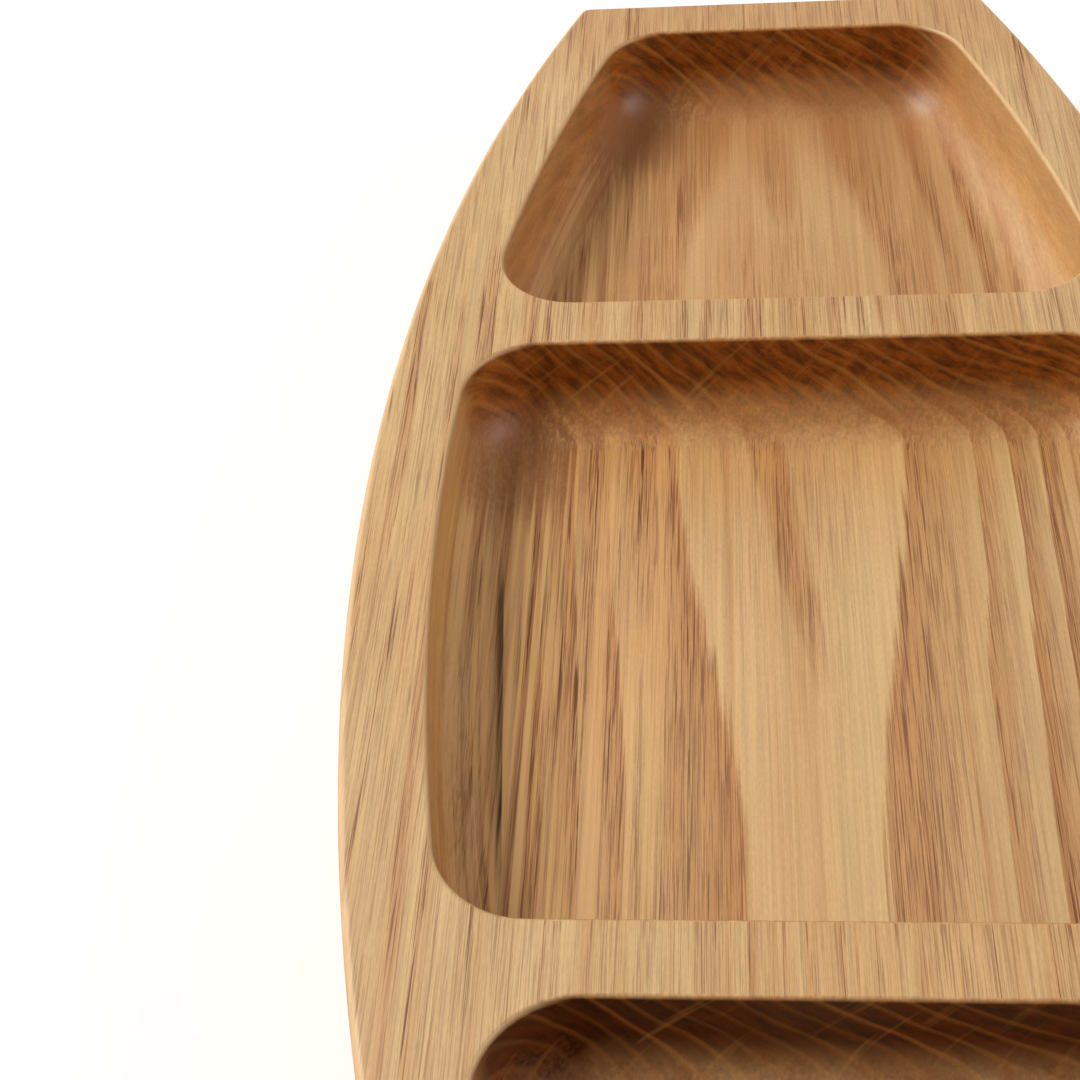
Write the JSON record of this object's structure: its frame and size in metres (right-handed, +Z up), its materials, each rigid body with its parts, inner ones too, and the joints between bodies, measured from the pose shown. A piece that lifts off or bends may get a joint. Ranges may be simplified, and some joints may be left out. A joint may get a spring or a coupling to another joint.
{
  "type": "divided serving platter",
  "caption": "Long carved oak serving platter with bowed sides and square-cut ends, hollowed into coved trays in a row for serving separate snacks, standing on screw-on rubber feet.",
  "frame": {"origin": "on the table, under the middle of the board", "axes": "+Y along the board from its near end to its far end, +X to the right, +Z up"},
  "size_m": [0.144, 0.315, 0.031],
  "materials": {
    "oak": "oiled, satin",
    "rubber": "matte",
    "steel": "bright zinc"
  },
  "bodies": {
    "root": {"platter_body": "oak", "foot_near_left": "rubber", "foot_near_right": "rubber", "foot_far_left": "rubber", "foot_far_right": "rubber", "washer_near_left": "steel", "washer_near_right": "steel", "washer_far_left": "steel", "washer_far_right": "steel", "screw_near_left": "steel", "screw_near_right": "steel", "screw_far_left": "steel", "screw_far_right": "steel"}
  },
  "joints": []
}
